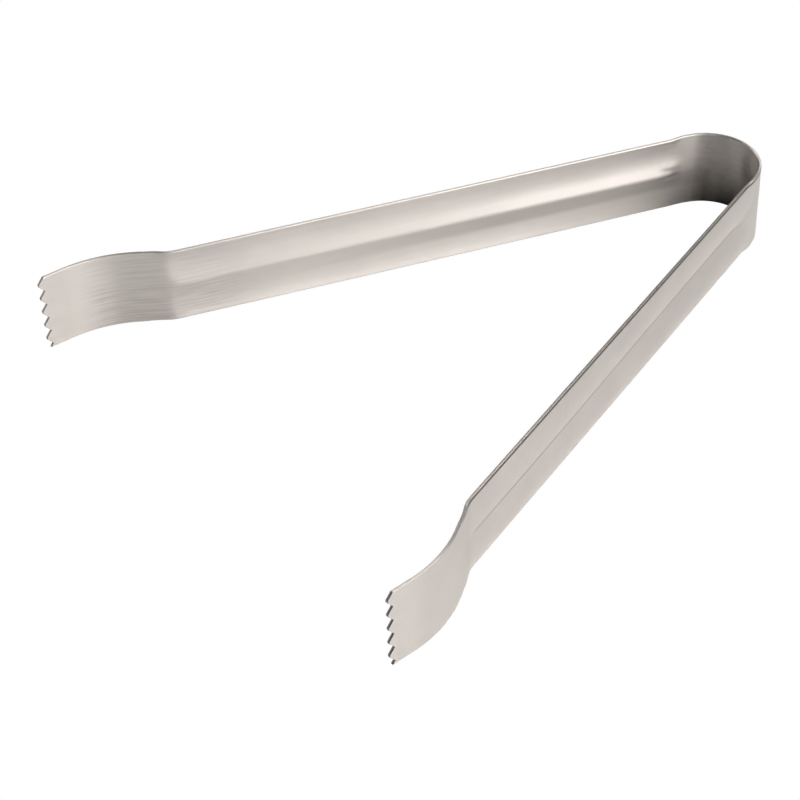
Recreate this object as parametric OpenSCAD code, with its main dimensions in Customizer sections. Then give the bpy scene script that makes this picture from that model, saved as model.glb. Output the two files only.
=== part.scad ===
// Ice tongs: one strip of stainless steel sheet with a toothed jaw at each end,
// folded in the middle into a round bow that acts as the spring.
// The strip stands on its long edges. +X runs from the bow to the jaws, +Y to the
// left arm, +Z across the strip. The origin is under the middle of the whole length.
// The strip is cut where its bend or section changes, and at the middle of the plain
// length on each side, where an arm turns when the tongs are squeezed.

/* [Strip] */
// Width of the strip, which is the height of the tongs as they lie
strip_w = 22; // [16:0.5:30]
// Thickness of the sheet
strip_t = 0.8; // [0.6:0.1:1.2]

/* [Bow] */
// Inside radius of the bow
bow_inner_r = 13; // [10:0.5:18]
// Angle that each half of the round bow turns through
bow_half_angle = 65; // [50:1:66]
// Angle of the crown on each side of the centre line
crown_half_angle = 26; // [15:1:35]
// Share of each half of the bow that stays with the crown as the arms close
bow_fixed_share = 0.8; // [0.75:0.01:0.9]
// Radius of the gentle shoulder between the bow and an arm, at mid thickness
shoulder_r = 90; // [50:5:150]

/* [Arms] */
// Angle between an arm and the centre line, with the tongs at rest
arm_angle = 19.2; // [16:0.2:22]
// Length of the straight, pressed stretch of an arm
arm_len = 135; // [90:5:180]
// Depth of the V groove below its lips
groove_depth = 0.6; // [0.3:0.1:1]
// Width of the V groove between its lips
groove_w = 4.4; // [3:0.2:6]
// How far the long edges are turned in from the crests beside the groove
edge_turn = 0.7; // [0.3:0.1:1]
// How much the pressing draws each long edge in across the strip
edge_draw = 0.2; // [0.2:0.05:0.4]
// Length over which the pressed section fades out at each end of the arm
press_run = 14; // [8:1:20]

/* [Neck and jaw] */
// Angle that the neck bends outwards
neck_angle = 15; // [8:1:20]
// Radius of the neck's bend at mid thickness
neck_r = 9.4; // [6:0.2:16]
// Flat length between the neck's bend and the jaw's bend
neck_len = 7.2; // [4:0.2:12]
// Angle that the jaw bends back in
jaw_angle = 32; // [24:1:40]
// Radius of the jaw's bend at mid thickness
jaw_r = 33; // [20:1:45]
// Flat length from the jaw's bend to the roots of the teeth
jaw_flat = 5.4; // [3:0.2:9]

/* [Teeth] */
// Distance from one tooth to the next
tooth_pitch = 4.2; // [3:0.2:6]
// Height of a tooth from root to tip
tooth_h = 1.5; // [1:0.1:2.5]
// Width of the blunted tip of a tooth
tooth_tip_w = 0.5; // [0.2:0.1:1]

/* [Hidden] */
$fn = 180;
steel = [0.79, 0.77, 0.75];
shaded_steel = [0.62, 0.60, 0.58];
left = 1;
right = -1;

// A place along the strip is [x, y, heading], measured from the centre of the bow.
// advance() goes straight on, and turn() goes round an arc, to the left if angle > 0.
function advance(place, length) =
    [place[0] + length * cos(place[2]), place[1] + length * sin(place[2]), place[2]];
function turn(place, radius, angle) =
    let (side = sign(angle), next = place[2] + angle)
    [place[0] + radius * side * (sin(next) - sin(place[2])),
     place[1] - radius * side * (cos(next) - cos(place[2])),
     next];

// The left half of the strip, from the crown to the roots of the teeth
bow_r = bow_inner_r + strip_t / 2;
flex_angle = bow_fixed_share * bow_half_angle;
shoulder_angle = arm_angle - (90 - bow_half_angle);
crown_middle = [-bow_r, 0, 90];
crown_end = turn(crown_middle, bow_r, -crown_half_angle);
crown_start = [crown_end[0], -crown_end[1], 90 + crown_half_angle];
flex_place = turn(crown_end, bow_r, crown_half_angle - flex_angle);
bow_end = turn(flex_place, bow_r, flex_angle - bow_half_angle);
shoulder_end = turn(bow_end, shoulder_r, shoulder_angle);
arm_end = advance(shoulder_end, arm_len);
neck_bend_end = turn(arm_end, neck_r, neck_angle);
neck_end = advance(neck_bend_end, neck_len);
jaw_bend_end = turn(neck_end, jaw_r, -jaw_angle);
tooth_roots = advance(jaw_bend_end, jaw_flat);
tooth_tips = advance(tooth_roots, tooth_h);

// The neck and the jaw follow their bends in steps of about bend_step degrees
bend_step = 2;
function round_bend(start, radius, angle) =
    let (steps = ceil(abs(angle) / bend_step))
    [for (i = [0 : steps]) turn(start, radius, angle * i / steps)];
jaw_places = concat(
    round_bend(arm_end, neck_r, neck_angle),
    round_bend(neck_end, jaw_r, -jaw_angle),
    [tooth_tips]
);

// Half of the overall length lies each side of the origin
back_x = -(bow_r + strip_t / 2);
front_x = tooth_tips[0] + strip_t / 2 * abs(sin(tooth_tips[2]));
middle_x = (back_x + front_x) / 2;

// Stations along an arm, close together where the pressing fades
fade_steps = 8;
fade_in = [for (i = [0 : fade_steps]) press_run * i / fade_steps];
fade_out = [for (i = [0 : fade_steps]) arm_len - press_run * (1 - i / fade_steps)];
arm_stations = concat(fade_in, fade_out);

// Places across an arm, from 0 at the groove's lip to 1 at the long edge
crest_steps = 9;
crest_place = 0.45;
least_groove = 0.04;

module at(place) {
    translate([place[0] - middle_x, place[1], 0])
        rotate([0, 0, place[2]])
            children();
}

module on_side(side) {
    mirror([0, side == right ? 1 : 0, 0])
        children();
}

// A stretch of the strip that starts along +X and bends round an arc
module bent_strip(radius, angle) {
    side = sign(angle);
    translate([0, side * radius, 0])
        rotate([0, 0, side > 0 ? -90 : 90 + angle])
            rotate_extrude(angle = abs(angle))
                translate([radius - strip_t / 2, 0])
                    square([strip_t, strip_w]);
}

// A stretch of the strip through a row of places, seen from above
function beside(place, side) =
    [place[0] - side * strip_t / 2 * sin(place[2]),
     place[1] + side * strip_t / 2 * cos(place[2])];
module ribbon(places) {
    outer = [for (place = places) beside(place, 1)];
    inner = [for (i = [len(places) - 1 : -1 : 0]) beside(places[i], -1)];
    translate([-middle_x, 0, 0])
        linear_extrude(strip_w)
            polygon(concat(outer, inner));
}

// The V notches that leave the teeth standing, with the first root at the top edge
module tooth_notches() {
    half_gap = (tooth_pitch - tooth_tip_w) / 2;
    beyond = tooth_h + 1;
    rotate([90, 0, 0])
        linear_extrude(strip_t + 2, center = true)
            for (i = [0 : ceil(strip_w / tooth_pitch)]) {
                root_z = strip_w - i * tooth_pitch;
                polygon([
                    [0, root_z],
                    [tooth_h, root_z + half_gap],
                    [beyond, root_z + half_gap],
                    [beyond, root_z - half_gap],
                    [tooth_h, root_z - half_gap]
                ]);
            }
}

// How fully the arm is pressed at a station: 0 is flat strip, 1 is the full section
function ease(t) = let (c = min(1, max(0, t))) c * c * (3 - 2 * c);
function pressed(x) = ease(x / press_run) * ease((arm_len - x) / press_run);

// Mid thickness of the pressed section, as [outwards, across] from the groove's line.
// The crest lies crest_place of the way from the groove's lip to the edge.
function lip(press) = groove_w / 2 * max(press, least_groove);
function half_w(press) = strip_w / 2 - edge_draw * press;
function crest_point(press, share) =
    let (far = (share - crest_place) / (1 - crest_place))
    [press * (edge_turn / 7 - edge_turn * far * far),
     lip(press) + share * (half_w(press) - lip(press))];
function groove_bottom(press) =
    [crest_point(press, 0)[0] - groove_depth * press, 0];
function half_section(press) =
    [for (i = [0 : crest_steps]) crest_point(press, i / crest_steps)];
function mid_section(press) = let (half = half_section(press)) concat(
    [for (i = [crest_steps : -1 : 0]) [half[i][0], -half[i][1]]],
    [groove_bottom(press)],
    half
);

// One face of the section, half the thickness to the side of mid thickness
function face(mid, side) = [
    for (i = [0 : len(mid) - 1])
        let (
            before = mid[max(i - 1, 0)],
            after = mid[min(i + 1, len(mid) - 1)],
            run = after - before,
            across = [run[1], -run[0]] / norm(run)
        )
        mid[i] + across * side * strip_t / 2
];
function ring(x) =
    let (
        mid = mid_section(pressed(x)),
        outer = face(mid, 1),
        inner = face(mid, -1),
        count = len(mid)
    )
    concat(
        [for (i = [0 : count - 1]) [x, outer[i][0], strip_w / 2 + outer[i][1]]],
        [for (i = [count - 1 : -1 : 0]) [x, inner[i][0], strip_w / 2 + inner[i][1]]]
    );

// The straight stretch of an arm, swept through its stations
function two_triangles(a, b, c, d) = [[a, b, c], [a, c, d]];
module pressed_strip() {
    rings = [for (x = arm_stations) ring(x)];
    size = len(rings[0]);
    end = (len(rings) - 1) * size;
    walls = [
        for (r = [0 : size : end - size]) for (i = [0 : size - 1])
            let (next = (i + 1) % size)
            each two_triangles(r + i, r + size + i, r + size + next, r + next)
    ];
    back_cap = [
        for (i = [0 : size / 2 - 2])
            each two_triangles(i, i + 1, size - 2 - i, size - 1 - i)
    ];
    front_cap = [
        for (i = [0 : size / 2 - 2])
            each two_triangles(end + i, end + size - 1 - i, end + size - 2 - i, end + i + 1)
    ];
    polyhedron([for (points = rings) each points], concat(walls, back_cap, front_cap));
}

module bow_crown() {
    color(shaded_steel)
        at(crown_start)
            bent_strip(bow_r, -2 * crown_half_angle);
}

module bow_inner(side) {
    color(shaded_steel)
        on_side(side)
            at(crown_end)
                bent_strip(bow_r, crown_half_angle - flex_angle);
}

module bow_outer(side) {
    color(shaded_steel)
        on_side(side)
            at(flex_place)
                bent_strip(bow_r, flex_angle - bow_half_angle);
}

module shoulder(side) {
    color(steel)
        on_side(side)
            at(bow_end)
                bent_strip(shoulder_r, shoulder_angle);
}

module arm(side) {
    color(steel)
        on_side(side)
            at(shoulder_end)
                pressed_strip();
}

module jaw(side) {
    color(steel)
        on_side(side)
            difference() {
                ribbon(jaw_places);
                at(tooth_roots) tooth_notches();
            }
}

bow_crown();
bow_inner(left);  // bow_inner_left
bow_inner(right);  // bow_inner_right
bow_outer(left);  // bow_outer_left
bow_outer(right);  // bow_outer_right
shoulder(left);  // shoulder_left
shoulder(right);  // shoulder_right
arm(left);  // arm_left
arm(right);  // arm_right
jaw(left);  // jaw_left
jaw(right);  // jaw_right
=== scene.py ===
import math
import bmesh
import bpy
from mathutils import Matrix, Vector


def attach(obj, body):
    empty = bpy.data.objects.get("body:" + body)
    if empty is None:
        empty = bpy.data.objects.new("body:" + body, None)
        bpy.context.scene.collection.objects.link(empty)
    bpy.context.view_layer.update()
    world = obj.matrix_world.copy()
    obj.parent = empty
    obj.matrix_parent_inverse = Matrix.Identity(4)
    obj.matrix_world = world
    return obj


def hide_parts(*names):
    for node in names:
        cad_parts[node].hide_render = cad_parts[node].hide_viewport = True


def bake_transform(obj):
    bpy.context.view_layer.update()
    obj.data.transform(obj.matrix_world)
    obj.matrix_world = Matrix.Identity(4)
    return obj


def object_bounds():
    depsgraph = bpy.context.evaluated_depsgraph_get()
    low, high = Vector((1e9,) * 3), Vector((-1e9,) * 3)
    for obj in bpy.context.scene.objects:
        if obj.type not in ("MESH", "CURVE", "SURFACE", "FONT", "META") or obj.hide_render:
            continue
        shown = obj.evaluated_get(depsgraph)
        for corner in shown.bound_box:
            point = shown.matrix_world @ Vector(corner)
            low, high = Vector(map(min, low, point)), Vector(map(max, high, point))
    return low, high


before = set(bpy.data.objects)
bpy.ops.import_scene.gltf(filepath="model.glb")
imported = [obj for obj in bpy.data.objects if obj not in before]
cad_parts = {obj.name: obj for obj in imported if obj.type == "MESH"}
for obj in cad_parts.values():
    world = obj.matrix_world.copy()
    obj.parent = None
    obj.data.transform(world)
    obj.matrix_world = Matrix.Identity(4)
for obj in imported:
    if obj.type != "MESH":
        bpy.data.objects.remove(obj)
cad_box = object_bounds()
MM = 0.001

# The bow: the plain middle of the strip, folded round a mandrel into a spring.
# It is satin stainless sheet with tumbled edges. It is made here in two halves that
# meet on the centre line.

# Sizes are in mm, and places along the strip are measured from the middle of the bow
SHEET_T = 0.8
STRIP_W = (cad_box[1].z - cad_box[0].z) / MM
CROWN_X = cad_box[0].x / MM + SHEET_T / 2
FLEX_END = 22
SEAM_IN_ARM = 32


def bend(radius, degrees):
    """The length and the turn of a round stretch, to the left if degrees > 0."""
    return radius * math.radians(abs(degrees)), degrees


STRIP_SHAPE = {
    "bow": bend(13.4, -65),
    "shoulder": bend(90, -5.8),
    "arm": (135, 0),
    "neck_bend": bend(9.4, 15),
    "neck": (7.2, 0),
    "jaw_bend": bend(33, -32),
    "jaw": (20, 0),
}


def end_of(stretch):
    """How far along the strip a stretch ends, to a tenth of a millimetre."""
    run = 0
    for name, (length, _) in STRIP_SHAPE.items():
        run += length
        if name == stretch:
            break
    return round(run, 1)


def place_on_strip(run):
    """x, y and heading of the left half of the strip, run mm along it from the crown."""
    x, y, heading = CROWN_X, 0.0, math.radians(90)
    for length, angle in STRIP_SHAPE.values():
        part = min(run, length)
        if angle:
            turned = math.radians(angle) * part / length
            radius = length / math.radians(angle)
            x += radius * (math.sin(heading + turned) - math.sin(heading))
            y -= radius * (math.cos(heading + turned) - math.cos(heading))
            heading += turned
        else:
            x += part * math.cos(heading)
            y += part * math.sin(heading)
        run -= part
        if run <= 0:
            break
    return x, y, heading


def cut_blank(stations, lanes):
    """A flat sheet as [along, outwards, across] in mm, with a row at each station."""
    bm = bmesh.new()
    rows, columns = len(stations) - 1, len(lanes) - 1
    bmesh.ops.create_grid(bm, x_segments=rows, y_segments=columns, size=1)
    for v in bm.verts:
        row = round((v.co.x + 1) / 2 * rows)
        column = round((v.co.y + 1) / 2 * columns)
        v.co = (stations[row], 0, lanes[column])
    return bm


# The pressed section. Its crest lies CREST mm from the groove's line and stands out by
# a small share of what the edges are turned in. The blur rounds the punch's corners.
MIDDLE = STRIP_W / 2
GROOVE_DEPTH, GROOVE_HALF = 0.6, 2.2
EDGE_TURN, EDGE_DRAW = 0.85, 0.2
CREST, CREST_RISE = 6.2, 1 / 7
PUNCH_BLUR = (-0.4, -0.2, 0, 0.2, 0.4)

# Where the pressing starts, over what length it comes in, where it ends and over what
# length it goes out, then how its depth falls from the bow to the neck
CROWN_FADES = (17, 5, 164.5, 7)
GROOVE_FADES = (17.5, 9, end_of("neck_bend"), 4)
DEEP_AT_BOW, SHALLOW_BY, SHALLOW_FROM, SHALLOW_OVER = 1.3, 0.75, 30, 115

# Rows of the mesh across the strip, close together where the section turns
HALF_LANES = [
    0, 0.2, 0.4, 0.7, 1.1, 1.5, 1.8, 2.1, 2.4, 2.8, 3.4, 4, 4.8, 5.6, 6.4, 7.2, 8, 8.8,
    9.5, 10.1, 10.6, MIDDLE,
]
GROOVED_LANES = [MIDDLE - h for h in HALF_LANES[:0:-1]] + [MIDDLE + h for h in HALF_LANES]


def ease(share):
    """A smooth step from 0 to 1 as share goes from 0 to 1."""
    share = min(1, max(0, share))
    return share * share * (3 - 2 * share)


def faded(along, fades):
    """How fully the punch presses here: it fades in and out over the lengths given."""
    start, run_in, end, run_out = fades
    return ease((along - start) / run_in) * ease((end - along) / run_out)


def press_sheet(bm):
    """Presses the V groove and turns the long edges in, where the punch reaches."""

    def pressed_to(reach, crowned, grooved, depth):
        far = (max(reach, GROOVE_HALF) - CREST) / (MIDDLE - CREST)
        fall = far * far * (depth if reach < CREST else 1)
        lip = GROOVE_HALF * max(0.1, grooved)
        v_shape = GROOVE_DEPTH * grooved * depth * max(0, 1 - reach / lip)
        return crowned * EDGE_TURN * (CREST_RISE - fall) - v_shape

    for v in bm.verts:
        along, _, across = v.co
        crowned = faded(along, CROWN_FADES)
        grooved = faded(along, GROOVE_FADES)
        depth = DEEP_AT_BOW - SHALLOW_BY * ease((along - SHALLOW_FROM) / SHALLOW_OVER)
        off = across - MIDDLE
        reaches = [abs(abs(off) + blur) for blur in PUNCH_BLUR]
        v.co.y = sum(pressed_to(reach, crowned, grooved, depth) for reach in reaches) / len(reaches)
        v.co.z = MIDDLE + off * (1 - EDGE_DRAW * crowned / MIDDLE)


# Faces that meet at more than this angle are the sheet's sheared corners
SHARP_EDGE = math.radians(50)


def give_thickness(bm, seams, edge_round):
    """Thickens the sheet evenly about its middle and rounds its sheared edges."""
    bmesh.ops.recalc_face_normals(bm, faces=bm.faces)
    bm.normal_update()
    if sum(f.normal.y for f in bm.faces) < 0:
        bmesh.ops.reverse_faces(bm, faces=bm.faces)
        bm.normal_update()
    for v in bm.verts:
        v.co += v.normal * (SHEET_T / 2)
    bmesh.ops.solidify(bm, geom=bm.faces[:], thickness=SHEET_T)
    bmesh.ops.recalc_face_normals(bm, faces=bm.faces)
    sheared = [
        e for e in bm.edges
        if e.calc_face_angle(0) > SHARP_EDGE
        and not any(all(abs(v.co.x - seam) < 0.01 for v in e.verts) for seam in seams)
    ]
    bmesh.ops.bevel(
        bm, geom=sheared, affect="EDGES", offset=edge_round, offset_type="OFFSET",
        segments=3, profile=0.5, material=-1, clamp_overlap=True,
    )
    for e in bm.edges:
        e.smooth = e.calc_face_angle(0) < SHARP_EDGE


INNER = 40


def bend_to_plan(bm, side):
    """Keeps the flat sheet's own grain directions in a UV map, then bends the sheet.

    The map is in metres, along the strip and across it. The inner face lies INNER mm
    beyond the outer one on it. The tenth of a thickness keeps the narrow edges open.
    """
    grain = bm.loops.layers.uv.new("grain")
    bm.normal_update()
    for face in bm.faces:
        shift = INNER if face.normal.y < -0.5 else 0
        for loop in face.loops:
            co = loop.vert.co
            loop[grain].uv = (co.x * MM, (co.z + co.y / 10 + shift) * MM)
    for v in bm.verts:
        along, outwards, across = v.co
        x, y, heading = place_on_strip(along)
        v.co = (
            (x - outwards * math.sin(heading)) * MM,
            side * (y + outwards * math.cos(heading)) * MM,
            across * MM,
        )
    bmesh.ops.recalc_face_normals(bm, faces=bm.faces)


def finish_piece(bm, name, steel):
    mesh = bpy.data.meshes.new(name)
    bm.to_mesh(mesh)
    bm.free()
    mesh.shade_smooth()
    piece = bpy.data.objects.new(name, mesh)
    bpy.context.scene.collection.objects.link(piece)
    mesh.materials.append(steel)
    return piece


def soil_and_shade(along, across, soft, dark, look="even"):
    """A soft dark patch on the grain map, for satin_steel: painted shade, and in places soil.

    It has where it starts and ends along the strip and across it, and the softness of
    its border each way, all in mm, then how dark it is from 0 to 1, and its look.
    """
    return along, across, soft, dark, look


STEEL_TONE = (0.60, 0.56, 0.525)
# The dark colour that the patches mix in: painted shade, and in places soil.
SOIL_AND_SHADE_TONE = (0.06, 0.045, 0.034)
SATIN = 0.42


def satin_steel(name, tone, roughness, patches=()):
    """Rolled stainless sheet: fine lengthwise grain, faint drawing streaks, and dark patches of
    painted shade and soil.
    """
    steel = bpy.data.materials.new(name)
    steel.use_nodes = True
    nodes, links = steel.node_tree.nodes, steel.node_tree.links
    shader = nodes["Principled BSDF"]
    shader.inputs["Metallic"].default_value = 1.0
    shader.inputs["Anisotropic"].default_value = 0.9
    shader.inputs["Anisotropic Rotation"].default_value = 0.25
    tangent = nodes.new("ShaderNodeTangent")
    tangent.direction_type = "UV_MAP"
    tangent.uv_map = "grain"
    links.new(tangent.outputs["Tangent"], shader.inputs["Tangent"])
    uv = nodes.new("ShaderNodeUVMap")
    uv.uv_map = "grain"
    axes = nodes.new("ShaderNodeSeparateXYZ")
    links.new(uv.outputs["UV"], axes.inputs["Vector"])

    def noise_along_grain(along, across, detail):
        stretch = nodes.new("ShaderNodeMapping")
        stretch.inputs["Scale"].default_value = (along, across, 1)
        links.new(uv.outputs["UV"], stretch.inputs["Vector"])
        noise = nodes.new("ShaderNodeTexNoise")
        noise.noise_dimensions = "2D"
        noise.inputs["Scale"].default_value = 1
        noise.inputs["Detail"].default_value = detail
        links.new(stretch.outputs["Vector"], noise.inputs["Vector"])
        return noise.outputs["Fac"]

    def between(value, low, high, out_low, out_high):
        spread = nodes.new("ShaderNodeMapRange")
        for socket, number in zip(spread.inputs[1:5], (low, high, out_low, out_high)):
            socket.default_value = number
        links.new(value, spread.inputs["Value"])
        return spread.outputs["Result"]

    def product(a, b):
        times = nodes.new("ShaderNodeMath")
        times.operation = "MULTIPLY"
        links.new(a, times.inputs[0])
        links.new(b, times.inputs[1])
        return times.outputs["Value"]

    def inside(value, low, high, soft):
        rise = between(value, (low - soft) * MM, low * MM, 0, 1)
        fall = between(value, high * MM, (high + soft) * MM, 1, 0)
        return product(rise, fall)

    def tinted(colour, shade):
        mix = nodes.new("ShaderNodeMix")
        mix.data_type = "RGBA"
        mix.blend_type = "MULTIPLY"
        mix.inputs["Factor"].default_value = 1
        links.new(colour, mix.inputs["A"])
        links.new(shade, mix.inputs["B"])
        return mix.outputs["Result"]

    fine = noise_along_grain(90, 9000, 2)
    streaks = noise_along_grain(28, 1500, 2)
    cloud = noise_along_grain(60, 90, 3)
    ramp = nodes.new("ShaderNodeValToRGB")
    dull_end, bright_end = ramp.color_ramp.elements
    dull_end.position, bright_end.position = 0.3, 0.7
    dull_end.color = (*[c * 0.97 for c in tone], 1)
    bright_end.color = (*[c * 1.02 for c in tone], 1)
    links.new(cloud, ramp.inputs["Fac"])
    colour = tinted(ramp.outputs["Color"], between(streaks, 0.3, 0.7, 0.985, 1.01))
    colour = tinted(colour, between(fine, 0.3, 0.7, 0.985, 1.01))

    looks = {
        "even": between(cloud, 0.3, 0.7, 0.95, 1),
        "streaky": between(noise_along_grain(75, 2400, 4), 0.4, 0.65, 0.15, 1),
        "mottled": between(noise_along_grain(420, 900, 4), 0.4, 0.65, 0.45, 1),
    }
    # Each patch darkens the base colour towards the dark tone: painted shade, and in places soil.
    for along, across, (soft_along, soft_across), dark, look in patches:
        patch = product(
            inside(axes.outputs["X"], *along, soft_along),
            inside(axes.outputs["Y"], *across, soft_across),
        )
        shade_and_soil_mix = nodes.new("ShaderNodeMix")
        shade_and_soil_mix.data_type = "RGBA"
        shade_and_soil_mix.inputs["B"].default_value = (*SOIL_AND_SHADE_TONE, 1)
        links.new(product(patch, between(looks[look], 0, 1, 0, dark)), shade_and_soil_mix.inputs["Factor"])
        links.new(colour, shade_and_soil_mix.inputs["A"])
        colour = shade_and_soil_mix.outputs["Result"]
    links.new(colour, shader.inputs["Base Color"])

    links.new(
        between(streaks, 0.25, 0.75, roughness * 0.96, roughness * 1.04),
        shader.inputs["Roughness"],
    )
    relief = nodes.new("ShaderNodeBump")
    relief.inputs["Strength"].default_value = 0.15
    relief.inputs["Distance"].default_value = 0.000004
    links.new(fine, relief.inputs["Height"])
    links.new(relief.outputs["Normal"], shader.inputs["Normal"])
    return steel


def steps(start, end, count):
    """Places from start to end in even steps, both ends included."""
    return [start + (end - start) * i / count for i in range(count + 1)]


BOW_STATIONS = steps(0, end_of("bow"), 56) + steps(end_of("bow"), SEAM_IN_ARM, 34)[1:]
EDGE_ROUND = 0.28
WHOLE_INNER = (INNER - 2, INNER + 24)
UNDER_RIDGE = (INNER + 6.8, INNER + 10.3)
GROOVE_LINE = (10.9, 11.1)
TOP_CORNER = (21.25, 21.6)
TOP_EDGE = (21.75, 22.3)
bow_steel = satin_steel("bow_satin_steel", STEEL_TONE, SATIN, [
    # Mottled darkening of the whole inside of the bow: partly painted shade, partly soil.
    soil_and_shade((-1, 12.5), WHOLE_INNER, (2, 1), 0.12, "mottled"),
    # Painted shade: the inside of the bow is made much darker towards its bottom edge, where it
    # reflects the shadowed table inside the bow.
    soil_and_shade((-1, 11), (INNER - 2, INNER + 1), (4, 14), 0.72),
    # Painted shade: a darker band on the inside under the ridge, where the lower flank reflects the
    # shadowed table.
    soil_and_shade((15, 40), UNDER_RIDGE, (6, 1.5), 0.22),
    # Mottled darkening of the inside where the bow runs into the arm: partly painted shade, partly
    # soil.
    soil_and_shade((14, 24), WHOLE_INNER, (6, 1), 0.08, "mottled"),
    # Painted shade: a dark line along the crease of the groove on the outside.
    soil_and_shade((27, 40), GROOVE_LINE, (2, 0.2), 0.4),
    # Painted reflection: a strong dark line just under the rounded top edge on the outside.
    soil_and_shade((14, 40), TOP_CORNER, (3, 0.15), 0.85),
    # Painted shade: the rounded top edge is made a little darker, where it faces the dark room
    # above.
    soil_and_shade((-1, 40), TOP_EDGE, (1, 0.03), 0.25),
])

for hand, side in (("left", 1), ("right", -1)):
    bm = cut_blank(BOW_STATIONS, GROOVED_LANES)
    press_sheet(bm)
    give_thickness(bm, (0, SEAM_IN_ARM), EDGE_ROUND)
    bend_to_plan(bm, side)
    bow = finish_piece(bm, f"spring_bow_{hand}", bow_steel)
    x, y, _ = place_on_strip(FLEX_END)
    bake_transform(bow)
    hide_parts("bow_crown", f"bow_inner_{hand}", f"bow_outer_{hand}", f"shoulder_{hand}")

# The arms: the same strip, with a V groove pressed into the outside of each and the
# long edges turned in, so that they stay straight when they are squeezed. The groove
# starts as a point after the shoulder and ends in a rounded facet at the neck's bend.
FADE_START = 150
NECK_BEND_START, NECK_BEND_END = end_of("arm"), end_of("neck_bend")
SEAM_IN_NECK = 166.4
ARM_STATIONS = (
    steps(SEAM_IN_ARM, FADE_START, 60) + steps(FADE_START, NECK_BEND_START, 14)[1:]
    + steps(NECK_BEND_START, NECK_BEND_END, 10)[1:] + steps(NECK_BEND_END, SEAM_IN_NECK, 9)[1:]
)
arm_steel = satin_steel("arm_satin_steel", STEEL_TONE, SATIN, [
    # Painted shade: a darker band on the inside under the ridge, where the lower flank reflects the
    # shadowed table.
    soil_and_shade((20, 70), UNDER_RIDGE, (70, 1.5), 0.22),
    # Painted shade: a dark line along the crease of the groove on the outside.
    soil_and_shade((27, 157), GROOVE_LINE, (2, 0.2), 0.4),
    # Painted reflection: a strong dark line just under the rounded top edge on the outside.
    soil_and_shade((14, 164), TOP_CORNER, (3, 0.15), 0.85),
    # Painted shade: the rounded top edge is made a little darker, where it faces the dark room
    # above.
    soil_and_shade((14, 180), TOP_EDGE, (1, 0.03), 0.25),
    # Streaky darkening of the inside by the neck, stronger on its lower half.
    soil_and_shade((150, 180), WHOLE_INNER, (14, 1), 0.13, "streaky"),
    soil_and_shade((150, 180), (INNER + 2, INNER + 10), (14, 3), 0.10, "streaky"),
])

for hand, side in (("left", 1), ("right", -1)):
    bm = cut_blank(ARM_STATIONS, GROOVED_LANES)
    press_sheet(bm)
    give_thickness(bm, (SEAM_IN_ARM, SEAM_IN_NECK), EDGE_ROUND)
    bend_to_plan(bm, side)
    arm = finish_piece(bm, f"grooved_arm_{hand}", arm_steel)
    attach(arm, f"arm_{hand}")
    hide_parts(f"arm_{hand}")

# The jaws: the flat ends of the strip, cranked outwards at the neck and curved back
# in. Their ends are punched to a row of blunt teeth that grip the ice. The punch
# leaves the cut faces of the teeth duller than the rolled faces.
JAW_BEND_START, JAW_BEND_END = end_of("neck"), end_of("jaw_bend")
JAW_FLAT = 5.4
TOOTH_ROOTS = JAW_BEND_END + JAW_FLAT
TOOTH_H, TOOTH_PITCH, TOOTH_TIP = 1.5, 4.2, 0.5
TOOTH_REACH = 4
JAW_ROUND = 0.12


def tooth_edge(across):
    """How far the end of the strip reaches past the roots of the teeth."""
    from_root = (STRIP_W - across) % TOOTH_PITCH
    to_root = min(from_root, TOOTH_PITCH - from_root)
    return TOOTH_H * min(1, to_root / ((TOOTH_PITCH - TOOTH_TIP) / 2))


def punch_teeth(bm):
    """Draws the end of the sheet out into teeth, over the last TOOTH_REACH mm."""
    for v in bm.verts:
        near = ease((v.co.x - (TOOTH_ROOTS - TOOTH_REACH)) / TOOTH_REACH)
        v.co.x += near * tooth_edge(v.co.z)


TIP_CORNERS = (1.85, 2.35)
TOOTH_FLANKS = (0.6, 1.2)
lanes_by_root = [0, *TOOTH_FLANKS, TIP_CORNERS[0]]
lanes_by_root += [-lane for lane in (*TOOTH_FLANKS, *TIP_CORNERS)]
tooth_lanes = {0.0, STRIP_W}
for root in range(math.ceil(STRIP_W / TOOTH_PITCH) + 1):
    for offset in lanes_by_root:
        lane = STRIP_W - root * TOOTH_PITCH + offset
        if 0 < lane < STRIP_W:
            tooth_lanes.add(round(lane, 3))
JAW_LANES = sorted(tooth_lanes)
JAW_STATIONS = (
    steps(SEAM_IN_NECK, JAW_BEND_START, 3) + steps(JAW_BEND_START, JAW_BEND_END, 32)[1:]
    + steps(JAW_BEND_END, TOOTH_ROOTS - TOOTH_REACH, 2)[1:]
    + steps(TOOTH_ROOTS - TOOTH_REACH, TOOTH_ROOTS, 6)[1:]
)
jaw_steel = satin_steel("jaw_satin_steel", STEEL_TONE, SATIN, [
    # Streaky darkening of the inside by the neck, stronger on its lower half.
    soil_and_shade((150, 178), WHOLE_INNER, (6, 1), 0.13, "streaky"),
    # Painted shade: the rounded top edge is made a little darker, where it faces the dark room
    # above.
    soil_and_shade((150, 200), (21.9, 22.3), (1, 0.03), 0.25),
    soil_and_shade((150, 178), (INNER + 2, INNER + 10), (6, 3), 0.10, "streaky"),
])
CUT_TONE, CUT_ROUGHNESS = (0.3, 0.285, 0.27), 0.45
sheared_steel = satin_steel("sheared_steel", CUT_TONE, CUT_ROUGHNESS)

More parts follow.
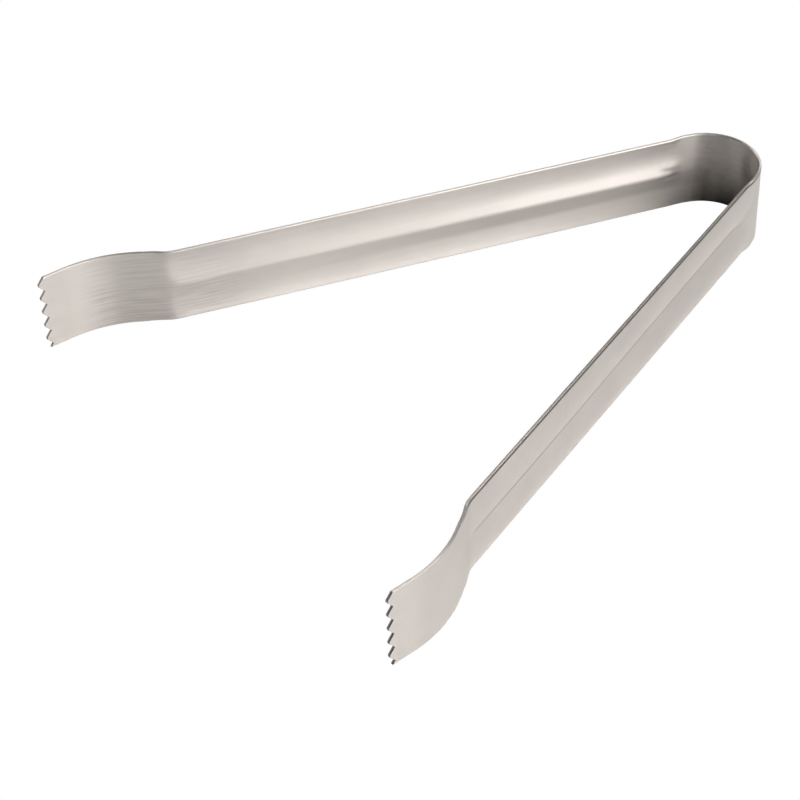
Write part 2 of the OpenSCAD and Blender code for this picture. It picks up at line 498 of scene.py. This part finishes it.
for hand, side in (("left", 1), ("right", -1)):
    bm = cut_blank(JAW_STATIONS, JAW_LANES)
    punch_teeth(bm)
    give_thickness(bm, (SEAM_IN_NECK,), JAW_ROUND)
    bm.normal_update()
    for face in bm.faces:
        if face.normal.x > 0.25 and face.calc_center_median().x > TOOTH_ROOTS - 1:
            face.material_index = 1
    bend_to_plan(bm, side)
    jaw = finish_piece(bm, f"toothed_jaw_{hand}", jaw_steel)
    jaw.data.materials.append(sheared_steel)
    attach(jaw, f"arm_{hand}")
    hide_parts(f"jaw_{hand}")

# The table: a plain white top that runs well past the tongs on every side, with a
# white sweep round it. The camera sees both as one even white. The same top again,
# lit as a real one is, shows only in what the steel reflects.
STAGE_REACH = 4  # metres
INDIRECT_RAYS = ("visible_diffuse", "visible_glossy", "visible_shadow", "visible_transmission")


def plain_paint(name, shader_type, colour):
    paint = bpy.data.materials.new(name)
    paint.use_nodes = True
    paint.node_tree.nodes.clear()
    shader = paint.node_tree.nodes.new(shader_type)
    shader.inputs["Color"].default_value = (*colour, 1)
    output = paint.node_tree.nodes.new("ShaderNodeOutputMaterial")
    paint.node_tree.links.new(shader.outputs[0], output.inputs["Surface"])
    return paint


def set_out(bm, name, paint):
    """Stands a plain painted shape in the scene beside the tongs."""
    mesh = bpy.data.meshes.new(name)
    bm.to_mesh(mesh)
    bm.free()
    mesh.materials.append(paint)
    thing = bpy.data.objects.new(name, mesh)
    bpy.context.scene.collection.objects.link(thing)
    return thing


def flat_top():
    bm = bmesh.new()
    bmesh.ops.create_grid(bm, x_segments=1, y_segments=1, size=STAGE_REACH)
    return bm


even_white = plain_paint("table_top_paint", "ShaderNodeEmission", (1, 1, 1))
table = set_out(flat_top(), "table_top", even_white)
bm = bmesh.new()
bmesh.ops.create_icosphere(bm, subdivisions=3, radius=STAGE_REACH)
sweep = set_out(bm, "white_sweep", even_white)
for plain in (table, sweep):
    for ray in INDIRECT_RAYS:
        setattr(plain, ray, False)

lit_white = plain_paint("table_bounce_paint", "ShaderNodeBsdfDiffuse", (0.85, 0.85, 0.85))
lit_table = set_out(flat_top(), "table_bounce", lit_white)
lit_table.visible_camera = False

# The light: soft cards stood round the table in a dark room, all at one distance and
# turned to the tongs. Each is given as azimuth and elevation in degrees, width and
# height in metres, and watts.
CARD_DISTANCE = 1.3
LIGHT_CARDS = [
    ("card_back", 90, 28, 0.5, 0.45, 4.4),
    ("card_back_high", 110, 50, 0.6, 0.5, 2.3),
    ("card_back_low", 80, 9, 0.8, 0.42, 2.5),
    ("card_back_left", 110, 28, 0.4, 0.45, 4.2),
    ("card_back_right", 67, 28, 0.5, 0.45, 1.8),
    ("card_neck", 48, 28, 0.4, 0.45, 0.7),
    ("card_bow_high", 150, 50, 0.6, 0.5, 5.7),
    ("card_bow", 140, 28, 0.5, 0.45, 1.2),
    ("card_bow_low", 160, 9, 0.8, 0.42, 1.0),
    ("card_jaw_low", 40, 9, 0.8, 0.42, 1.7),
    ("card_top", 210, 72, 0.6, 0.5, 2.3),
    ("card_front_high", 240, 45, 0.5, 0.45, 1.3),
    ("card_front_low", 320, 9, 0.8, 0.42, 1.9),
    ("card_front", 278, 28, 0.5, 0.45, 2.6),
    ("card_front_left", 206, 28, 0.45, 0.45, 2.6),
]
for name, around, up, width, height, watts in LIGHT_CARDS:
    around, up = math.radians(around), math.radians(up)
    out = Vector((
        math.cos(around) * math.cos(up), math.sin(around) * math.cos(up), math.sin(up),
    ))
    card = bpy.data.lights.new(name, "AREA")
    card.shape = "RECTANGLE"
    card.size, card.size_y, card.energy = width, height, watts
    light = bpy.data.objects.new(name, card)
    light.visible_camera = False
    facing = out.to_track_quat("Z", "Y").to_matrix().to_4x4()
    light.matrix_world = Matrix.Translation(out * CARD_DISTANCE) @ facing
    bpy.context.scene.collection.objects.link(light)

room = bpy.data.worlds.new("dark_room")
bpy.context.scene.world = room
room.use_nodes = True
room.node_tree.nodes["Background"].inputs["Strength"].default_value = 0.0
bpy.context.scene.view_settings.view_transform = "Standard"

# The camera looks down on the jaws from the front left, about 560 mm away, through a
# long lens. Its angles are in degrees and its target is a little below the tongs.
CAMERA_AZIMUTH, CAMERA_ELEVATION, CAMERA_ROLL = 143.313, 40.712, -2.124
CAMERA_TARGET = Vector((28.170, -2.018, -5.248)) * MM
CAMERA_DISTANCE = 560.888 * MM
FOCAL_LENGTH, SENSOR_WIDTH = 100.65, 36
azimuth, elevation = math.radians(CAMERA_AZIMUTH), math.radians(CAMERA_ELEVATION)
back = Vector((
    math.sin(azimuth) * math.cos(elevation),
    -math.cos(azimuth) * math.cos(elevation),
    math.sin(elevation),
))
turn = (-back).to_track_quat("-Z", "Y").to_matrix() @ Matrix.Rotation(
    math.radians(CAMERA_ROLL), 3, "Z"
)
lens = bpy.data.cameras.new("camera")
lens.sensor_width, lens.lens = SENSOR_WIDTH, FOCAL_LENGTH
lens.clip_end = 20
camera = bpy.data.objects.new("camera", lens)
camera.matrix_world = Matrix.Translation(CAMERA_TARGET + back * CAMERA_DISTANCE) @ turn.to_4x4()
bpy.context.scene.collection.objects.link(camera)
bpy.context.scene.camera = camera
